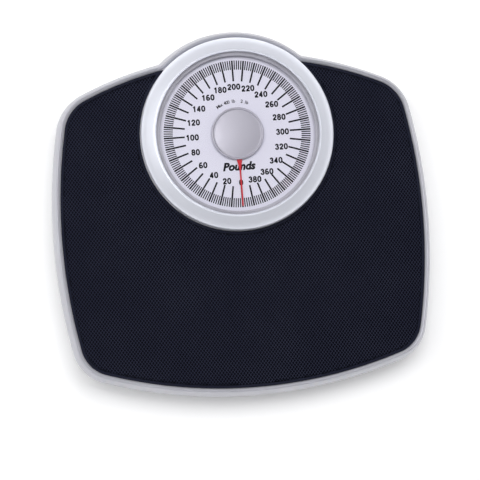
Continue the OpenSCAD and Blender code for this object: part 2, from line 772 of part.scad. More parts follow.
// Shelf under the lens: a shallow slope down to a thin lip above the dial plate.
module dial_surround() {
  top = mat_z + 12.6 - lens_t;
  r = lens_r;
  color([0.6, 0.6, 0.63]) place() rotate_extrude($fn = 180) polygon([
    [r - 5.8, top - 1.8], [r - 5.7, top - 3], [r - 4.7, top - 3.2], [r - 0.3, top - 1.2],
    [r - 0.3, top], [r - 2.4, top], [r - 5.2, top - 1.5]]);
}

base_tray();
foot_front_left();
foot_front_right();
foot_rear_left();
foot_rear_right();
fulcrum_bracket_front_left();
fulcrum_bracket_front_right();
fulcrum_bracket_rear_left();
fulcrum_bracket_rear_right();
fulcrum_rivets();
main_lever_left();
main_lever_right();
main_lever_nose();
main_lever_knives();
short_lever_left();
short_lever_right();
short_lever_knives_left();
short_lever_knives_right();
short_lever_hook_left();
short_lever_hook_right();
works_frame();
works_screws();
shaft_bush();
rack_guide();
crank_bracket();
crank_pin();
dial_posts();
dial_plate();
screw_foot();
pinion_gear();
pointer_shaft();
pointer_needle();
hub_cap();
gear_rack();
rack_pin();
bell_crank();
draw_bracket();
draw_pins();
main_spring();
anchor_arm();
zero_screw();
zero_wheel();
platform_cover();
standing_mat();
load_bracket_front_left();
load_bracket_front_right();
load_bracket_rear_left();
load_bracket_rear_right();
dial_bezel();
dial_lens();
dial_surround();
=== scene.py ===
import json
import math
import bmesh
import bpy
from mathutils import Matrix, Vector


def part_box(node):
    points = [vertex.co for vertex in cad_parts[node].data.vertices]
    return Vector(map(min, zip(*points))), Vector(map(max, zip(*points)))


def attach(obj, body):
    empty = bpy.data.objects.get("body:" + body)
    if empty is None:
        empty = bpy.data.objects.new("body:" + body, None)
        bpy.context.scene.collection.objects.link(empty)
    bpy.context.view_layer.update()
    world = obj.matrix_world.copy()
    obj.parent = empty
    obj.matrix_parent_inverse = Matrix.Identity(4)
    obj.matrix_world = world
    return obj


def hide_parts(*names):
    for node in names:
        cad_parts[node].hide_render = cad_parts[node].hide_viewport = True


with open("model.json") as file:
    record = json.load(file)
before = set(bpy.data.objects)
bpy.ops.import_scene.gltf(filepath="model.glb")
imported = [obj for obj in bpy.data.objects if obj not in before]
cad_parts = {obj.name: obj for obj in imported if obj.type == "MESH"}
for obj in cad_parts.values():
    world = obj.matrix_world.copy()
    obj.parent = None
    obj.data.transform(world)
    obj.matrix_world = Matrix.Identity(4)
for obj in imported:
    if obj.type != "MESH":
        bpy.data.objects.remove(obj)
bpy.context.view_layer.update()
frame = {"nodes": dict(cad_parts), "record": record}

MM = 0.001

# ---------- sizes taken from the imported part, in millimetres ----------


def box_mm(node):
    low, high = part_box(node)
    return [v / MM for v in low], [v / MM for v in high]


def middle(node):
    low, high = box_mm(node)
    return [(a + b) / 2 for a, b in zip(low, high)]


def radius_of(node):
    low, high = box_mm(node)
    return (high[0] - low[0]) / 2


def heights(node):
    low, high = box_mm(node)
    return low[2], high[2]


DIAL_Y = middle("dial_bezel")[1]
CENTRE = (0.0, DIAL_Y)
DECK_TOP, MAT_TOP = heights("standing_mat")
BEZEL_R = radius_of("dial_bezel")
BEZEL_TOP = heights("dial_bezel")[1]
LENS_R = radius_of("dial_lens")
LENS_LOW, LENS_TOP = heights("dial_lens")
PLATE_R = radius_of("dial_plate")
PLATE_LOW, PLATE_TOP = heights("dial_plate")
HUB_R = radius_of("hub_cap")
HUB_LOW = heights("hub_cap")[0]
NEEDLE_LOW, NEEDLE_TOP = heights("pointer_needle")

# ---------- the platform's plan, drawn about the dial's centre ----------

SIDE_R, FRONT_R, REAR_R = 510.0, 436.0, 330.0
HALF_W, FRONT, WIDE_Y, REAR_Y = 167.4, 233.2, 84.0, 70.5
FRONT_CORNER, REAR_CORNER, FILLET = 31.0, 36.0, 16.0
COLLAR_R = 90.0
FRONT_C = (0.0, FRONT_R - FRONT)
SIDE_C = (HALF_W - SIDE_R, -WIDE_Y)
REAR_C = (0.0, REAR_Y - REAR_R)


def bearing(a, b):
    return math.atan2(b[1] - a[1], b[0] - a[0])


def touching(a, ra, b, rb, wanted):
    """Centre of the circle that touches two others, on the side where wanted is true."""
    gap = math.dist(a, b)
    along = (gap * gap + ra * ra - rb * rb) / (2 * gap)
    off = math.sqrt(ra * ra - along * along)
    tx, ty = (b[0] - a[0]) / gap, (b[1] - a[1]) / gap
    for sign in (1, -1):
        centre = (a[0] + tx * along + sign * ty * off, a[1] + ty * along - sign * tx * off)
        if wanted(centre):
            return centre


FRONT_K = touching(SIDE_C, SIDE_R - FRONT_CORNER, FRONT_C, FRONT_R - FRONT_CORNER,
                   lambda c: c[0] > 0 and c[1] < -WIDE_Y)
REAR_K = touching(SIDE_C, SIDE_R - REAR_CORNER, REAR_C, REAR_R - REAR_CORNER,
                  lambda c: c[0] > 0 and c[1] > -WIDE_Y)
FILLET_K = touching((0, 0), COLLAR_R + FILLET, REAR_C, REAR_R + FILLET, lambda c: c[0] > 0)


def arc(centre, radius, start, end, count):
    return [(centre[0] + radius * math.cos(start + (end - start) * i / count),
             centre[1] + radius * math.sin(start + (end - start) * i / count)) for i in range(count)]


def half_plain(d, fine):
    """Right half as far as the rear corner, moved out by d; fine multiplies the points on each arc."""
    front, side = bearing(FRONT_C, FRONT_K), bearing(SIDE_C, FRONT_K)
    side_end, rear = bearing(SIDE_C, REAR_K), bearing(REAR_C, REAR_K)
    return (arc(FRONT_C, FRONT_R + d, -math.pi / 2, front, 12 * fine)
            + arc(FRONT_K, FRONT_CORNER + d, front, side, 10 * fine)
            + arc(SIDE_C, SIDE_R + d, side, side_end, 12 * fine)
            + arc(REAR_K, REAR_CORNER + d, side_end, rear, 10 * fine))


def both_halves(half, last):
    return half + [last] + [(-x, y) for x, y in reversed(half[1:])]


def outline(d):
    """The cover's edge, with the collar round the dial and a fillet on each side of it."""
    fine = 2
    rear, fillet = bearing(REAR_C, REAR_K), bearing(REAR_C, FILLET_K)
    collar = bearing((0, 0), FILLET_K)
    half = (half_plain(d, fine)
            + arc(REAR_C, REAR_R + d, rear, fillet, 6 * fine)
            + arc(FILLET_K, FILLET - d, fillet + math.pi, collar + math.pi, 6 * fine)
            + arc((0, 0), COLLAR_R + d, collar, math.pi / 2, 16 * fine))
    return both_halves(half, (0.0, COLLAR_R + d))


def mat_outline(d, fine):
    """The mat's edge before the bezel's bite is taken out of it."""
    rear = arc(REAR_C, REAR_R + d, bearing(REAR_C, REAR_K), math.pi / 2, 10 * fine)
    return both_halves(half_plain(d, fine) + rear, (0.0, REAR_Y + d))


def on_circle(points, radius):
    turns = [math.atan2(y, x) for x, y in points]
    return [(radius * math.cos(a), radius * math.sin(a)) for a in turns]


# ---------- shader expressions ----------


class Wave:
    """A shader socket that takes part in Python arithmetic."""

    def __init__(self, nodes, socket):
        self.nodes, self.socket = nodes, socket

    def maths(self, kind, *values):
        return self.nodes.add("ShaderNodeMath", {"operation": kind}, dict(enumerate(values)))

    def __add__(self, other):
        return self.maths("ADD", self, other)

    def __mul__(self, other):
        return self.maths("MULTIPLY", self, other)

    def __sub__(self, other):
        return self.maths("SUBTRACT", self, other)

    def __rsub__(self, other):
        return self.maths("SUBTRACT", other, self)

    def __truediv__(self, other):
        return self.maths("DIVIDE", self, other)

    def __pow__(self, other):
        return self.maths("POWER", self, other)

    __radd__ = __add__
    __rmul__ = __mul__

    def clamped(self):
        return self.maths("MINIMUM", self.maths("MAXIMUM", self, 0.0), 1.0)

    def ramp(self, low, high):
        return ((self - low) / (high - low)).clamped()


class Nodes:
    """Adds nodes to one tree: a type, its settings, then the values or links of its sockets."""

    def __init__(self, tree):
        self.tree = tree

    def node(self, kind, settings=None, inputs=None):
        made = self.tree.nodes.new(kind)
        for key, value in (settings or {}).items():
            setattr(made, key, value)
        for key, value in (inputs or {}).items():
            socket = made.inputs[key]
            if isinstance(value, Wave):
                self.tree.links.new(value.socket, socket)
            else:
                if hasattr(socket.default_value, "__len__") and len(value) < len(socket.default_value):
                    value = (*value, 1)
                socket.default_value = value
        return made

    def add(self, kind, settings=None, inputs=None, out=0):
        return Wave(self, self.node(kind, settings, inputs).outputs[out])

    def place(self, size_mm, stretch=(1, 1, 1)):
        """Object coordinates scaled so that one unit of a pattern is size_mm long."""
        here = self.add("ShaderNodeTexCoord", out="Object")
        scale = tuple(1000 / size_mm * s for s in stretch)
        return self.add("ShaderNodeMapping", {}, {"Vector": here, "Scale": scale})

    def noise(self, size_mm, detail=3.0, rough=0.5, where=None, stretch=(1, 1, 1)):
        where = where or self.place(size_mm, stretch)
        return self.add("ShaderNodeTexNoise", {}, {"Vector": where, "Scale": 1.0, "Detail": detail,
                                                   "Roughness": rough}, out="Fac")

    def mix(self, amount, a, b):
        made = self.node("ShaderNodeMix", {"data_type": "RGBA"}, {0: amount, 6: a, 7: b})
        return Wave(self, made.outputs[2])

    def xyz(self):
        here = self.node("ShaderNodeTexCoord")
        split = self.node("ShaderNodeSeparateXYZ", {}, {0: Wave(self, here.outputs["Object"])})
        return [Wave(self, split.outputs[i]) for i in range(3)]

    def bump(self, height, strength, depth_mm):
        return self.add("ShaderNodeBump", {}, {"Height": height, "Strength": strength,
                                               "Distance": depth_mm * MM}, out="Normal")


def finish_named(name):
    material = bpy.data.materials.new(name)
    material.use_nodes = True
    material.node_tree.nodes.clear()
    return material, Nodes(material.node_tree)


def surface(nodes, **sockets):
    """Principled surface: keyword names are the socket's words with _ for spaces."""
    named = {key.replace("_", " "): value for key, value in sockets.items()}
    shader = nodes.add("ShaderNodeBsdfPrincipled", {}, named, out="BSDF")
    nodes.node("ShaderNodeOutputMaterial", {}, {"Surface": shader})


def darker(colour, share):
    return tuple(c * share for c in colour)


def silver_paint(name, colour, metallic, roughness):
    """Silver lacquer: fine metal flake, a slight orange peel and faint handling marks."""
    material, n = finish_named(name)
    flake = n.noise(0.35, 2.0)
    cloud = n.noise(38.0, 3.0)
    marks = n.noise(9.0, 6.0, 0.65, stretch=(1, 0.15, 1)).ramp(0.62, 0.72)
    base = n.mix(cloud.ramp(0.35, 0.65) * 0.5 + flake.ramp(0.4, 0.6) * 0.3, colour,
                 darker(colour, 0.9))
    surface(n, Base_Color=base, Metallic=metallic, Roughness=cloud * 0.08 + marks * 0.1 + roughness,
            Normal=n.bump(flake * 0.4 + n.noise(2.2, 2.0), 0.12, 0.08),
            Coat_Weight=0.25, Coat_Roughness=0.15)
    return material


def turned_silver(name, colour, roughness):
    """Satin silver plastic with fine rings turned round the dial's centre."""
    rings_per_m, bands_per_m = 2600.0, 900.0
    material, n = finish_named(name)
    x, y, z = n.xyz()
    y = y - DIAL_Y * MM
    radius = (x * x + y * y) ** 0.5
    ring_place = n.add("ShaderNodeCombineXYZ", {}, {0: radius * rings_per_m, 1: 0.0,
                                                    2: z * bands_per_m})
    rings = n.noise(1.0, 3.0, where=ring_place)
    cloud = n.noise(30.0, 3.0)
    base = n.mix(rings * 0.35 + cloud.ramp(0.4, 0.7) * 0.3, colour, darker(colour, 0.88))
    surface(n, Base_Color=base, Metallic=0.5, Roughness=rings * 0.07 + cloud * 0.05 + roughness,
            Normal=n.bump(rings, 0.1, 0.03), Coat_Weight=0.2, Coat_Roughness=0.1)
    return material


def hub_silver():
    """Satin silver of the hub cap: fine flake with a slight peel."""
    material, n = finish_named("hub_silver")
    flake = n.noise(0.3, 2.0)
    cloud = n.noise(12.0, 3.0)
    base = n.mix(cloud * 0.4 + flake * 0.4, (0.5, 0.487, 0.558), (0.455, 0.44, 0.505))
    surface(n, Base_Color=base, Metallic=0.4, Roughness=cloud * 0.06 + 0.34,
            Normal=n.bump(flake, 0.1, 0.03), Coat_Weight=0.15, Coat_Roughness=0.25)
    return material


def pressed_steel(name, colour, roughness, grain=(1, 1, 1), spangle=6.0):
    """Sheet or bar steel: plating spangle, grain along the bar and darker, duller patches."""
    material, n = finish_named(name)
    spots = n.add("ShaderNodeTexVoronoi", {}, {"Vector": n.place(spangle), "Scale": 1.0},
                  out="Color")
    patch = n.noise(14.0, 4.0)
    lines = n.noise(0.6, 2.0, stretch=grain)
    tone = n.add("ShaderNodeRGBToBW", {}, {0: spots})
    base = n.mix(tone * 0.4 + patch.ramp(0.4, 0.7) * 0.5, colour, darker(colour, 0.72))
    surface(n, Base_Color=base, Metallic=1.0, Roughness=roughness + tone * 0.1 + lines * 0.1,
            Normal=n.bump(lines, 0.2, 0.04))
    return material


def moulded(name, colour, roughness, grain_mm=0.5, depth=0.06):
    """Moulded plastic or rubber with a fine eroded grain."""
    material, n = finish_named(name)
    grain = n.noise(grain_mm, 3.0)
    cloud = n.noise(22.0, 4.0)
    base = n.mix(cloud.ramp(0.35, 0.7), colour, tuple(min(1, c * 1.25 + 0.004) for c in colour))
    surface(n, Base_Color=base, Roughness=grain * 0.12 + cloud * 0.08 + roughness,
            Normal=n.bump(grain, 0.3, depth))
    return material


def mat_rubber():
    """Embossed standing mat: below the net's top its colour falls to nearly black, painted shade in the
    pits and on the low edges; the net's own tone varies a little at random.
    """
    pit_edge, net_edge = MAT_TOP - 0.3, MAT_TOP - 0.1
    material, n = finish_named("mat_rubber")
    z = n.xyz()[2]
    high = z.ramp(pit_edge * MM, net_edge * MM)
    cloud = n.noise(45.0, 4.0)
    grain = n.noise(0.25, 2.0)
    net = n.mix(cloud.ramp(0.4, 0.7), (0.0295, 0.0325, 0.0585), (0.037, 0.0405, 0.069))
    # near-black below the net is painted shade in the pits and on the low edges, not the rubber's own
    # colour
    base = n.mix(high, (0.001, 0.0012, 0.0035), net)
    surface(n, Base_Color=base, Roughness=0.66 - high * 0.08 + grain * 0.1,
            Normal=n.bump(grain, 0.2, 0.03), Specular_IOR_Level=0.06)
    return material


def dial_white():
    """Enamelled dial plate: a cool white with the faintest mottle."""
    material, n = finish_named("dial_white")
    cloud = n.noise(25.0, 3.0)
    fibre = n.noise(0.8, 2.0)
    base = n.mix(cloud * 0.5 + fibre * 0.3, (0.71, 0.7, 0.81), (0.67, 0.66, 0.765))
    surface(n, Base_Color=base, Roughness=0.42 + fibre * 0.08, Normal=n.bump(fibre, 0.08, 0.02))
    return material


def dial_ink(name, colour):
    """Printed ink, a little worn."""
    material, n = finish_named(name)
    worn = n.noise(0.5, 3.0)
    base = n.mix(worn.ramp(0.5, 0.8) * 0.5, colour, tuple(c * 1.6 + 0.004 for c in colour))
    surface(n, Base_Color=base, Roughness=0.5 + worn * 0.1, Specular_IOR_Level=0.15)
    return material


def pointer_red():
    """Glossy red lacquer with a faint peel."""
    material, n = finish_named("pointer_red")
    cloud = n.noise(6.0, 3.0)
    peel = n.noise(0.6, 2.0)
    base = n.mix(cloud, (0.6, 0.008, 0.022), (0.5, 0.006, 0.018))
    surface(n, Base_Color=base, Roughness=0.3 + peel * 0.08, Normal=n.bump(peel, 0.1, 0.02),
            Coat_Weight=0.4, Coat_Roughness=0.1)
    return material


def lens_clear():
    """Clear lens: it mirrors only what clear plastic mirrors, and the rest of the light goes through."""
    material, n = finish_named("lens_clear")
    haze = n.noise(30.0, 4.0)
    facing = n.add("ShaderNodeLayerWeight", {}, {"Blend": 0.5}, out="Facing")
    surface(n, Base_Color=(0.9, 0.93, 0.97), Metallic=1.0, Roughness=haze * 0.04 + 0.14,
            Alpha=facing ** 5.0 * 0.5 + 0.008)
    return material


PLATFORM_SILVER = silver_paint("platform_silver", (0.5, 0.5, 0.545), 0.5, 0.36)
TRAY_SILVER = silver_paint("tray_silver", (0.5, 0.505, 0.53), 0.5, 0.38)
TURNED_SILVER = turned_silver("turned_silver", (0.86, 0.88, 0.955), 0.34)
ZINC = pressed_steel("zinc_steel", (0.6, 0.61, 0.63), 0.32)
BRIGHT = pressed_steel("bright_steel", (0.72, 0.72, 0.74), 0.2, grain=(0.1, 1, 1), spangle=3.0)
HARD = pressed_steel("hard_steel", (0.34, 0.35, 0.38), 0.28, grain=(0.1, 1, 1), spangle=2.0)
SPRING = pressed_steel("spring_steel", (0.42, 0.43, 0.46), 0.3, grain=(1, 1, 0.2), spangle=2.0)
BRASS = pressed_steel("brass", (0.72, 0.5, 0.2), 0.26, spangle=2.5)
HUB_SILVER = hub_silver()
BLACK_RUBBER = moulded("black_rubber", (0.022, 0.022, 0.024), 0.62)
BLACK_PLASTIC = moulded("black_plastic", (0.025, 0.025, 0.028), 0.42, 0.35)
GUIDE_PLASTIC = moulded("guide_plastic", (0.66, 0.66, 0.6), 0.45, 0.4, 0.03)
# grey plastic made darker than its own tone: painted shade for the recess under the bezel lip
SURROUND_GREY_AND_SHADE = moulded("surround_grey_and_shade", (0.35, 0.345, 0.39), 0.34, 0.4, 0.02)
MAT_RUBBER = mat_rubber()
DIAL_WHITE = dial_white()
INK_BLACK = dial_ink("ink_black", (0.004, 0.004, 0.007))
INK_GREY = dial_ink("ink_grey", (0.03, 0.03, 0.04))
POINTER_RED = pointer_red()
LENS_CLEAR = lens_clear()

# ---------- making pieces ----------


def piece_from(name, mesh, material, smooth_angle=None):
    """An object of one material; edges sharper than smooth_angle, in degrees, stay crisp."""
    piece = bpy.data.objects.new(name, mesh)
    bpy.context.collection.objects.link(piece)
    piece.data.materials.clear()
    piece.data.materials.append(material)
    if smooth_angle is not None:
        mesh.shade_smooth()
        mesh.set_sharp_from_angle(angle=math.radians(smooth_angle))
    return piece


def mesh_of(bm, name):
    mesh = bpy.data.meshes.new(name)
    bm.to_mesh(mesh)
    bm.free()
    return mesh


def ring_mesh(name, rings, closed=False):
    """Joins rings of equal point counts, in millimetres, into a skin.

    A ring of one point closes a pole, and closed joins the last ring to the first.
    """
    bm = bmesh.new()
    rows = [[bm.verts.new((x * MM, y * MM, z * MM)) for x, y, z in ring] for ring in rings]
    pairs = list(zip(rows, rows[1:])) + ([(rows[-1], rows[0])] if closed else [])
    for a, b in pairs:
        count = max(len(a), len(b))
        for i in range(count):
            j = (i + 1) % count
            corners = [a[i % len(a)], a[j % len(a)], b[j % len(b)], b[i % len(b)]]
            bm.faces.new(list(dict.fromkeys(corners)))
    bmesh.ops.recalc_face_normals(bm, faces=bm.faces[:])
    return mesh_of(bm, name)


def revolved(name, profile, centre, steps, closed=False):
    """Turns (radius, height) points about a vertical line through centre."""
    rings = []
    for radius, height in profile:
        if radius < 1e-6:
            rings.append([(centre[0], centre[1], height)])
        else:
            rings.append([(centre[0] + radius * math.cos(math.tau * i / steps),
                           centre[1] + radius * math.sin(math.tau * i / steps), height)
                          for i in range(steps)])
    return ring_mesh(name, rings, closed)


def lifted(points, height):
    """Points drawn about the dial's centre, set at a height in the part's own frame."""
    return [(x, y + DIAL_Y, height) for x, y in points]


def fine_curve(points, per_span):
    """Catmull-Rom curve through open profile points."""
    out = []
    for i in range(len(points) - 1):
        p0, p1 = Vector(points[max(i - 1, 0)]), Vector(points[i])
        p2, p3 = Vector(points[i + 1]), Vector(points[min(i + 2, len(points) - 1)])
        for k in range(per_span):
            t = k / per_span
            q = 0.5 * (2 * p1 + (p2 - p0) * t + (2 * p0 - 5 * p1 + 4 * p2 - p3) * t * t
                       + (3 * p1 - p0 - 3 * p2 + p3) * t ** 3)
            out.append((q.x, q.y))
    return out + [tuple(points[-1])]


def grown(maker, name, material, inputs, source):
    """Runs a Geometry Nodes tree on a source mesh and returns the result as a plain piece."""
    tree = bpy.data.node_groups.new(name + "_tree", "GeometryNodeTree")
    tree.interface.new_socket("Geometry", in_out="INPUT", socket_type="NodeSocketGeometry")
    tree.interface.new_socket("Geometry", in_out="OUTPUT", socket_type="NodeSocketGeometry")
    keys = {}
    for label, value in inputs.items():
        kind = "NodeSocketInt" if isinstance(value, int) else "NodeSocketFloat"
        keys[label] = tree.interface.new_socket(label, in_out="INPUT", socket_type=kind).identifier
    g = Nodes(tree)
    into = g.node("NodeGroupInput")
    sockets = {s.name: Wave(g, s) for s in into.outputs if s.name}
    result = maker(g, sockets)
    result = g.add("GeometryNodeRealizeInstances", {}, {0: result})
    result = g.add("GeometryNodeSetMaterial", {}, {"Geometry": result, "Material": material})
    out = g.node("NodeGroupOutput")
    tree.links.new(result.socket, out.inputs[0])
    holder = bpy.data.objects.new(name + "_source", source)
    bpy.context.collection.objects.link(holder)
    modifier = holder.modifiers.new("grow", "NODES")
    modifier.node_group = tree
    for label, value in inputs.items():
        modifier[keys[label]] = value
    bpy.context.view_layer.update()
    graph = bpy.context.evaluated_depsgraph_get()
    mesh = bpy.data.meshes.new_from_object(holder.evaluated_get(graph))
    holder.modifiers.clear()
    bpy.data.objects.remove(holder)
    mesh.name = name
    made = bpy.data.objects.new(name, mesh)
    bpy.context.collection.objects.link(made)
    return made


def points_mesh(name, points):
    mesh = bpy.data.meshes.new(name)
    mesh.from_pydata([tuple(c * MM for c in p) for p in points], [], [])
    return mesh


def radial_bars(cx, cy):
    """A Geometry Nodes maker: a bar on each point, laid along the radius, then moved to a centre."""
    def lay(g, sockets):
        size = g.add("ShaderNodeCombineXYZ", {}, {0: sockets["Length"], 1: sockets["Width"],
                                                  2: sockets["Height"]})
        bar = g.add("GeometryNodeMeshCube", {}, {"Size": size}, out="Mesh")
        spot = g.add("GeometryNodeInputPosition")
        outwards = g.add("ShaderNodeVectorMath", {"operation": "MULTIPLY"}, {0: spot, 1: (1, 1, 0)})
        turn = g.add("FunctionNodeAlignRotationToVector", {"axis": "X", "pivot_axis": "Z"},
                     {"Vector": outwards})
        laid = g.add("GeometryNodeInstanceOnPoints", {},
                     {"Points": sockets["Geometry"], "Instance": bar, "Rotation": turn})
        solid = g.add("GeometryNodeRealizeInstances", {}, {0: laid})
        return g.add("GeometryNodeTransform", {},
                     {"Geometry": solid, "Translation": (cx * MM, cy * MM, 0)})
    return lay


def bars_round(name, centre, spots, size, material):
    """Radial bars of one length, width and height in millimetres, at spots about a centre."""
    inputs = {label: value * MM for label, value in zip(("Length", "Width", "Height"), size)}
    return grown(radial_bars(*centre), name, material, inputs, points_mesh(name + "_spots", spots))


def settle(piece, body, slot_name, *nodes):
    """Says which body a piece rides on and which nodes it stands for; slot_name is not used."""
    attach(piece, body)
    if nodes:
        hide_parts(*nodes)


# ---------- platform ----------

# The rim's section: each point is an offset from the outline and a height above the mat's top.
RIM_OUT = [(7.9, -19.5), (7.25, -14.0), (6.4, -8.8), (5.35, -5.2)]
RIM_BEAD = [(4.9, -4.2), (4.45, -1.9), (3.8, -0.1), (3.2, 0.85), (2.5, 1.2), (1.6, 0.85), (0.75, 0.1),
            (0.1, -0.7)]
RIM_IN = [(0.8, -3.5), (2.0, -5.0), (2.8, -7.0), (4.0, -9.75), (5.2, -14.6), (6.2, -19.5)]
DECK_HOLE_R = 78.0
DECK_T = 2.0
DECK_EDGE = 0.05


def platform_cover():
    """Pressed cover as one closed skin: skirt, rim bead, deck with the dial's hole, and the inside."""
    section = fine_curve(RIM_OUT, 3) + fine_curve(RIM_BEAD, 3)
    rings = [lifted(outline(d), MAT_TOP + h) for d, h in section]
    rings.append(lifted(outline(DECK_EDGE), DECK_TOP))
    hole = on_circle(outline(0), DECK_HOLE_R)
    rings += [lifted(hole, DECK_TOP), lifted(hole, DECK_TOP - DECK_T)]
    rings += [lifted(outline(d), MAT_TOP + h) for d, h in RIM_IN]
    piece = piece_from("platform_cover_skin", ring_mesh("platform_cover_skin", rings, closed=True),
                       PLATFORM_SILVER, 32)
    settle(piece, "platform", "platform_paint", "platform_cover")


# Gaps round the mat, then the net's cell: LIP_SHARE is the size inside the lips over the whole cell's.
MAT_GAP = 0.3
BITE_GAP = 0.2
BITE_POINTS, EDGE_POINTS = 200, 600
CELL_X, CELL_Y = 2.94, 1.95
PIT_DEPTH = 0.95
LIP_SHARE, LIP_DEPTH = 0.8, 0.22
WELD = 0.02
NET_TOP = MAT_TOP - 0.02
MARGIN_TOP = MAT_TOP - 0.22
FIELD_FLOOR = MAT_TOP - 1.05
FIELD_EDGE = 1.6
FIELD_BITE_R = BEZEL_R + 1.8


def spaced(points, count):
    """The same open line with its points evenly spaced."""
    lengths = [0.0]
    for a, b in zip(points, points[1:]):
        lengths.append(lengths[-1] + math.dist(a, b))
    out = []
    k = 0
    for i in range(count):
        target = lengths[-1] * i / (count - 1)
        while k < len(points) - 2 and lengths[k + 1] < target:
            k += 1
        t = (target - lengths[k]) / (lengths[k + 1] - lengths[k])
        out.append(tuple(a + (b - a) * t for a, b in zip(points[k], points[k + 1])))
    return out


def mat_loop(d, height):
    """Mat edge at an offset, with the bite round the bezel, as evenly spaced points."""
    radius = BEZEL_R + BITE_GAP - d
    edge = mat_outline(d, 4)
    far = [math.hypot(*p) > radius for p in edge]
    start = far.index(False)
    end = len(far) - far[::-1].index(False)
    open_line = edge[end:] + edge[:start]
    first, last = (math.atan2(p[1], p[0]) for p in (open_line[0], open_line[-1]))
    sweep = last + math.tau - first
    turns = [last - sweep * i / BITE_POINTS for i in range(1, BITE_POINTS)]
    bite = [(radius * math.cos(a), radius * math.sin(a)) for a in turns]
    return lifted(spaced(open_line, EDGE_POINTS) + bite, height)


def mat_sheet():
    """Solid sheet: a raised margin all round, and inside it the low floor that carries the field."""
    rows = [mat_loop(-MAT_GAP, DECK_TOP), mat_loop(-MAT_GAP, MAT_TOP - 0.4),
            mat_loop(-MAT_GAP - 0.3, MARGIN_TOP), mat_loop(-2.7, MARGIN_TOP), mat_loop(-2.9, FIELD_FLOOR)]
    bm = bmesh.new()
    rings = [[bm.verts.new((x * MM, y * MM, h * MM)) for x, y, h in row] for row in rows]
    for a, b in zip(rings, rings[1:]):
        for i in range(len(a)):
            j = (i + 1) % len(a)
            bm.faces.new((a[i], a[j], b[j], b[i]))
    bm.faces.new(rings[-1])
    bm.faces.new(list(reversed(rings[0])))
    bmesh.ops.triangulate(bm, faces=[f for f in bm.faces if len(f.verts) > 4])
    bmesh.ops.recalc_face_normals(bm, faces=bm.faces[:])
    sheet = piece_from("mat_sheet", mesh_of(bm, "mat_sheet"), MAT_RUBBER, 30)
    settle(sheet, "platform", "mat_rubber", "standing_mat")


def within(border, x, y):
    """True where a point lies inside a closed line."""
    hit = False
    for i in range(len(border)):
        (x0, y0), (x1, y1) = border[i - 1], border[i]
        if (y0 > y) != (y1 > y) and x < (x1 - x0) * (y - y0) / (y1 - y0) + x0:
            hit = not hit
    return hit


def field_centres():
    """Centres of the staggered cells that fit wholly inside the margin and clear of the bezel."""
    border = mat_outline(-FIELD_EDGE, 1)
    centres = []
    row = 0
    y = -FRONT
    while y < REAR_Y:
        shift = CELL_X / 2 if row % 2 else 0.0
        x = -HALF_W - shift
        while x < HALF_W:
            corners = ((x - CELL_X / 2, y), (x + CELL_X / 2, y), (x, y - CELL_Y), (x, y + CELL_Y))
            if all(math.hypot(*c) >= FIELD_BITE_R and within(border, *c) for c in corners):
                centres.append((x, y + DIAL_Y, NET_TOP))
            x += CELL_X
        y += CELL_Y
        row += 1
    return centres


def mat_cell():
    """One diamond of the net: four sloping lips round a pit that narrows to a point."""
    bm = bmesh.new()
    diamond = [(CELL_X / 2, 0), (0, CELL_Y), (-CELL_X / 2, 0), (0, -CELL_Y)]
    outer = [bm.verts.new((x * MM, y * MM, 0)) for x, y in diamond]
    inner = [bm.verts.new((x * LIP_SHARE * MM, y * LIP_SHARE * MM, -LIP_DEPTH * MM)) for x, y in diamond]
    pit = bm.verts.new((0, 0, -PIT_DEPTH * MM))
    for i in range(4):
        j = (i + 1) % 4
        bm.faces.new((outer[i], outer[j], inner[j], inner[i]))
        bm.faces.new((inner[i], inner[j], pit))
    bmesh.ops.recalc_face_normals(bm, faces=bm.faces[:])
    if sum(f.normal.z for f in bm.faces) < 0:
        bmesh.ops.reverse_faces(bm, faces=bm.faces[:])
    return mesh_of(bm, "mat_cell")


def mat_field():
    """The embossed net: one cell on each centre, welded along the shared edges."""
    cell = bpy.data.objects.new("mat_cell", mat_cell())
    bpy.context.collection.objects.link(cell)

    def field(g, sockets):
        shape = g.add("GeometryNodeObjectInfo", {}, {"Object": cell}, out="Geometry")
        laid = g.add("GeometryNodeInstanceOnPoints", {},
                     {"Points": sockets["Geometry"], "Instance": shape})
        solid = g.add("GeometryNodeRealizeInstances", {}, {0: laid})
        return g.add("GeometryNodeMergeByDistance", {}, {"Geometry": solid, "Distance": sockets["Weld"]})

    net = grown(field, "mat_pattern", MAT_RUBBER, {"Weld": WELD * MM},
                points_mesh("mat_points", field_centres()))
    bpy.data.objects.remove(cell)
    net.data.shade_smooth()
    settle(net, "platform", "mat_rubber")


# ---------- dial head ----------


def dial_bezel():
    """Turned ring: foot on the deck, nearly straight crown, double lip over the lens, hollow inside."""
    r, top, lens, window = BEZEL_R, BEZEL_TOP, LENS_TOP, LENS_R
    foot = [(r, DECK_TOP), (r, DECK_TOP + 3.0)]
    crown = fine_curve([(r - 0.05, MAT_TOP + 6.4), (r - 0.45, MAT_TOP + 7.9), (r - 1.5, MAT_TOP + 9.3),
                        (r - 4.5, top - 3.3), (r - 8.0, top - 1.7), (r - 10.5, top - 0.65),
                        (r - 12.0, top - 0.05)], 5)
    lips = [(window - 0.5, top), (window - 0.9, top - 0.3), (window - 1.1, top - 0.55),
            (window - 1.5, top - 0.55), (window - 1.8, top - 0.15), (window - 2.0, top - 0.6),
            (window - 2.1, top - 1.2), (window - 2.1, lens)]
    inner = [(window, lens), (window, lens - 2.7), (window + 3.2, lens - 2.7), (r - 5.4, MAT_TOP + 8.0),
             (r - 2.8, MAT_TOP + 6.4), (r - 2.0, MAT_TOP + 5.2), (r - 2.0, DECK_TOP)]
    profile = foot + crown + lips + inner
    piece = piece_from("bezel_ring", revolved("bezel_ring", profile, CENTRE, 240, closed=True),
                       TURNED_SILVER, 28)
    settle(piece, "platform", "silver_plastic", "dial_bezel")


EASE = 0.05
SHELF_W = 5.5


